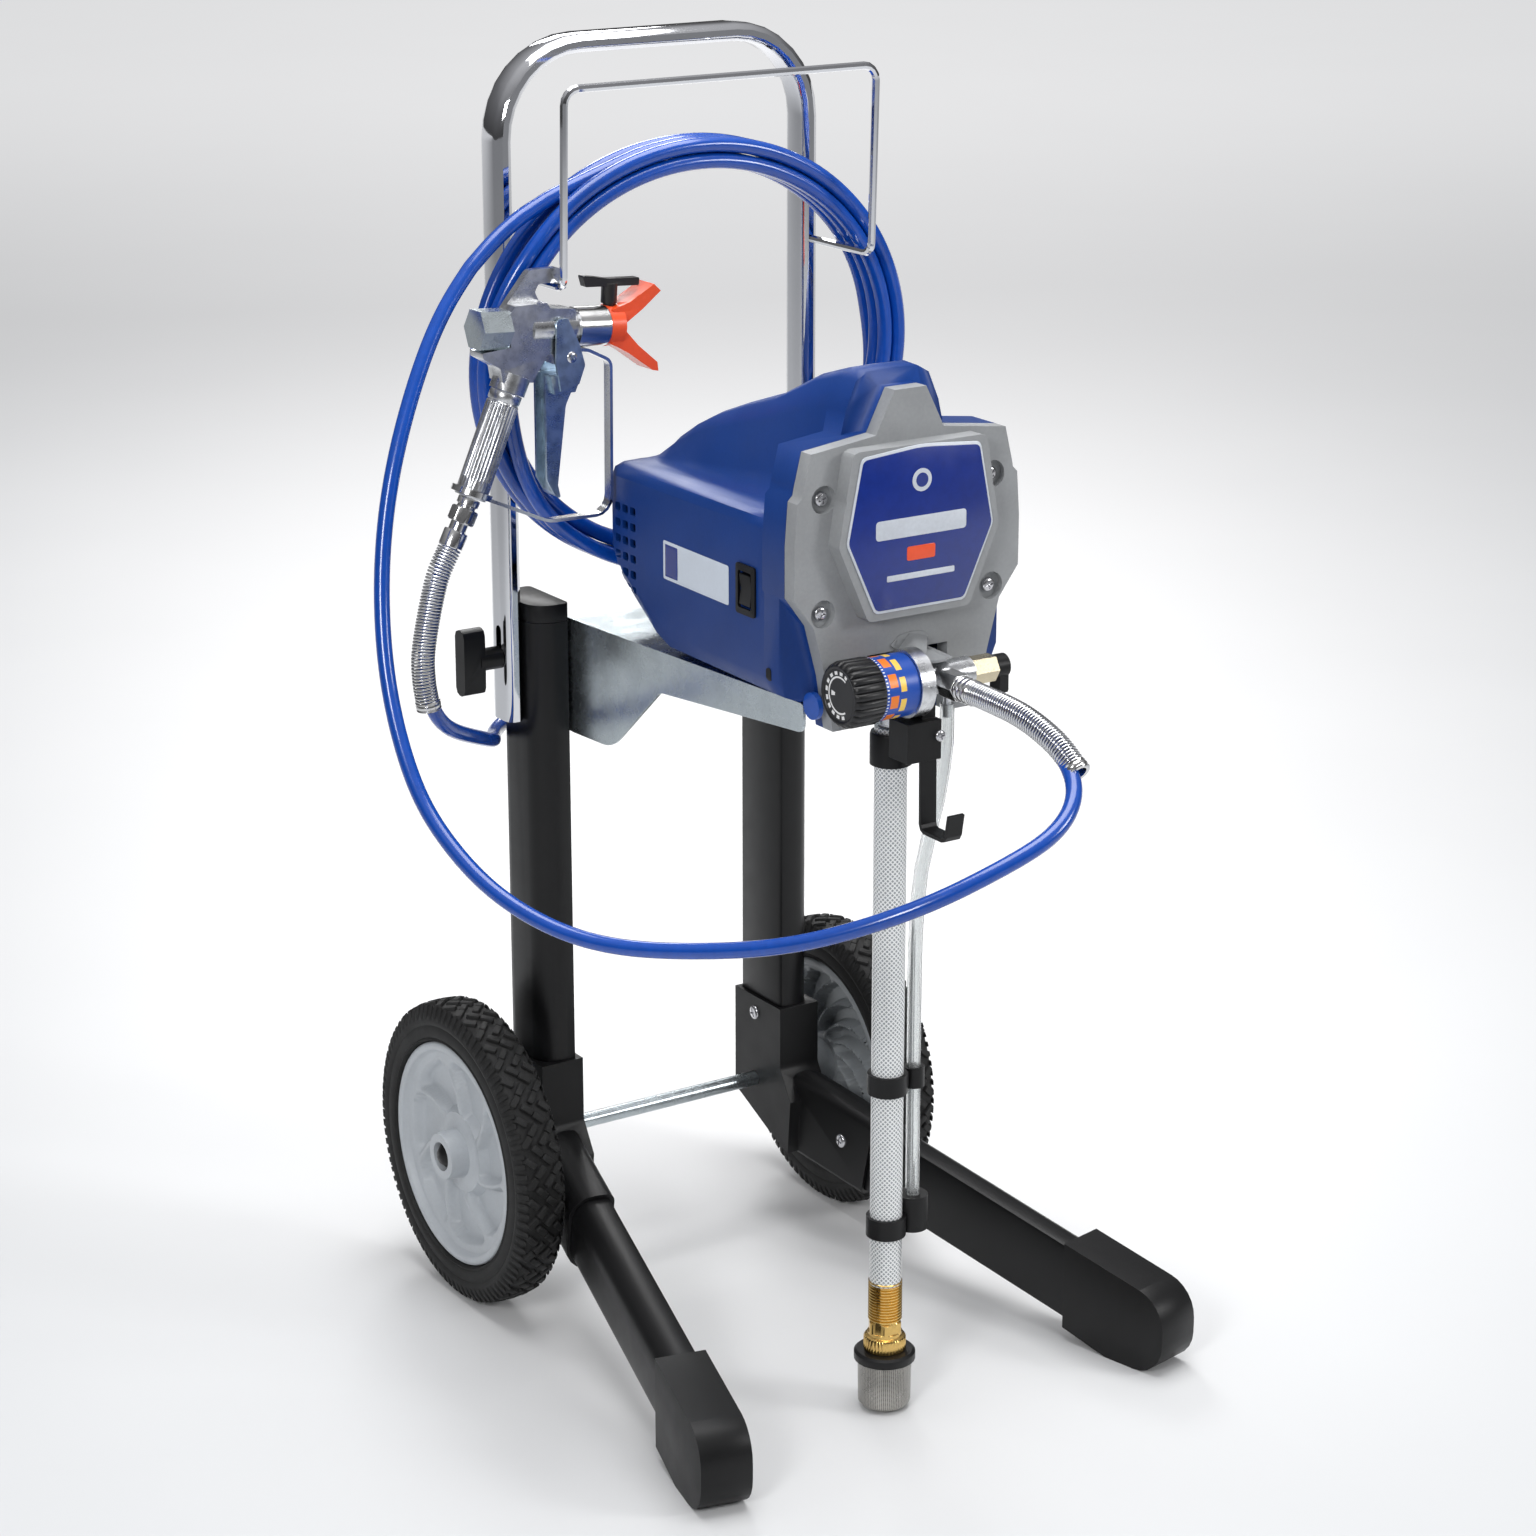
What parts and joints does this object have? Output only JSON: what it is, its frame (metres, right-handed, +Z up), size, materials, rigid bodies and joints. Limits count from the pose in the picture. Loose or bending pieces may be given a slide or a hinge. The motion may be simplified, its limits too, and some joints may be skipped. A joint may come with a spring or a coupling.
{
  "type": "airless paint sprayer cart",
  "caption": "Electric airless paint sprayer on a wheeled upright cart, with suction tube, coiled hose on a wire rack and spray gun.",
  "frame": {"origin": "on the floor, under the middle of the cart's box without its hose", "axes": "+X to the cart's right wheel, -Y to the front where the hydraulics and feet are, +Z up"},
  "size_m": [0.5598, 0.7029, 1.03],
  "materials": {
    "black_powder_coat": "satin black powder coat",
    "black_plastic": "moulded, fine texture",
    "tyre_rubber": "matte tread rubber",
    "hub_grey_plastic": "smooth satin moulding",
    "chrome": "polished plating",
    "zinc_plate": "bright zinc plating",
    "shroud_blue_plastic": "satin moulding",
    "cover_grey_plastic": "fine spark texture",
    "steel": "bright",
    "cast_aluminium": "cast, lightly polished",
    "brass": "turned",
    "hose_blue_plastic": "glossy hose jacket",
    "clear_tube_plastic": "clear tube with white braid",
    "guard_orange_plastic": "satin moulding",
    "trigger_steel": "blued plating"
  },
  "bodies": {
    "cart": {"post_left": "black_powder_coat", "post_right": "black_powder_coat", "post_cap_left": "black_plastic", "post_cap_right": "black_plastic", "elbow_left": "black_plastic", "elbow_right": "black_plastic", "leg_left": "black_powder_coat", "leg_right": "black_powder_coat", "foot_left": "black_plastic", "foot_right": "black_plastic", "axle": "zinc_plate", "hub_cap_left": "black_plastic", "hub_cap_right": "black_plastic", "shelf_bracket": "zinc_plate", "rear_shroud": "shroud_blue_plastic", "front_cover": "cover_grey_plastic", "cover_screw_1": "steel", "cover_screw_2": "steel", "cover_screw_3": "steel", "cover_screw_4": "steel", "cord_inlet": "black_plastic", "motor_can": "steel", "pump_housing": "cast_aluminium", "pressure_scale": "hose_blue_plastic", "prime_valve": "brass", "outlet_nut": "steel", "pump_spring_guard": "steel", "hose_loop": "hose_blue_plastic", "suction_tube": "clear_tube_plastic", "suction_fitting": "brass", "strainer": "steel", "drain_tube": "clear_tube_plastic", "tube_clip_upper": "black_plastic", "tube_clip_lower": "black_plastic", "pail_hook": "black_plastic"},
    "wheel_left": {"tyre_left": "tyre_rubber", "wheel_rim_left": "hub_grey_plastic"},
    "wheel_right": {"tyre_right": "tyre_rubber", "wheel_rim_right": "hub_grey_plastic"},
    "handle": {"handle_hoop": "chrome", "hose_rack": "chrome", "hose_coil": "hose_blue_plastic", "hose_tail": "hose_blue_plastic", "gun_spring_guard": "steel", "gun_body": "cast_aluminium", "gun_grip": "cast_aluminium", "trigger_guard": "steel", "gun_swivel": "steel"},
    "clamp_left": {"clamp_knob_left": "black_plastic"},
    "clamp_right": {"clamp_knob_right": "black_plastic"},
    "pressure_dial": {"pressure_knob": "black_plastic"},
    "prime_handle": {"prime_lever": "black_plastic"},
    "rocker": {"power_rocker": "black_plastic"},
    "prime_button": {"push_prime_button": "hose_blue_plastic"},
    "gun_trigger": {"trigger": "trigger_steel"},
    "guard": {"tip_guard": "guard_orange_plastic"},
    "tip": {"spray_tip": "black_plastic"},
    "rotor": {"motor_rotor": "steel"},
    "gear": {"drive_gear": "brass"},
    "piston": {"pump_piston": "steel"}
  },
  "joints": [
    {"name": "wheel_left_spin", "type": "hinge", "parent": "cart", "child": "wheel_left", "pos_m": [-0.1818, 0.158, 0.127], "axis": [1, 0, 0], "continuous": true},
    {"name": "wheel_right_spin", "type": "hinge", "parent": "cart", "child": "wheel_right", "pos_m": [0.1818, 0.158, 0.127], "axis": [1, 0, 0], "continuous": true},
    {"name": "handle_slide", "type": "slide", "parent": "cart", "child": "handle", "axis": [0, 0, 1], "range_m": [-0.022, 0], "deforming": ["hose_loop"]},
    {"name": "clamp_left_turn", "type": "hinge", "parent": "cart", "child": "clamp_left", "pos_m": [-0.1478, 0.153, 0.545], "axis": [-1, 0, 0], "range_deg": [0, 360]},
    {"name": "clamp_right_turn", "type": "hinge", "parent": "cart", "child": "clamp_right", "pos_m": [0.1478, 0.153, 0.545], "axis": [1, 0, 0], "range_deg": [0, 360]},
    {"name": "pressure_knob_turn", "type": "hinge", "parent": "cart", "child": "pressure_dial", "pos_m": [-0.0665, -0.225, 0.5955], "axis": [-1, 0, 0], "range_deg": [0, 270]},
    {"name": "prime_lever_turn", "type": "hinge", "parent": "cart", "child": "prime_handle", "pos_m": [0.063, -0.225, 0.5955], "axis": [-1, 0, 0], "range_deg": [0, 90]},
    {"name": "power_rocker_tilt", "type": "hinge", "parent": "cart", "child": "rocker", "pos_m": [-0.092, -0.132, 0.656], "axis": [0, 1, 0], "range_deg": [-8, 8]},
    {"name": "push_prime_press", "type": "slide", "parent": "cart", "child": "prime_button", "axis": [1, 0, 0], "range_m": [0, 0.003], "stiffness_N_per_m": 400, "springref_m": -0.001},
    {"name": "trigger_pull", "type": "hinge", "parent": "handle", "child": "gun_trigger", "pos_m": [-0.1385, 0.06, 0.803], "axis": [0, 1, 0], "range_deg": [0, 12], "stiffness_Nm_per_rad": 1, "springref_deg": -5.73},
    {"name": "tip_guard_turn", "type": "hinge", "parent": "handle", "child": "guard", "pos_m": [-0.09751, 0.06, 0.82113], "axis": [0.9981, 0, -0.061], "range_deg": [0, 90]},
    {"name": "spray_tip_turn", "type": "hinge", "parent": "guard", "child": "tip", "pos_m": [-0.09851, 0.06, 0.82119], "axis": [0.061, 0, 0.9981], "range_deg": [0, 180]},
    {"name": "motor_rotor_spin", "type": "hinge", "parent": "cart", "child": "rotor", "pos_m": [0, -0.032, 0.65], "axis": [0, -1, 0], "continuous": true},
    {"name": "drive_gear_turn", "type": "hinge", "parent": "cart", "child": "gear", "pos_m": [0, -0.136, 0.6886], "axis": [0, -1, 0], "continuous": true},
    {"name": "pump_piston_stroke", "type": "slide", "parent": "cart", "child": "piston", "axis": [0, 0, 1], "range_m": [-0.009, 0.009]}
  ],
  "couplings": [
    {"joint": "drive_gear_turn", "follows": "motor_rotor_spin", "ratio": -0.26667}
  ]
}
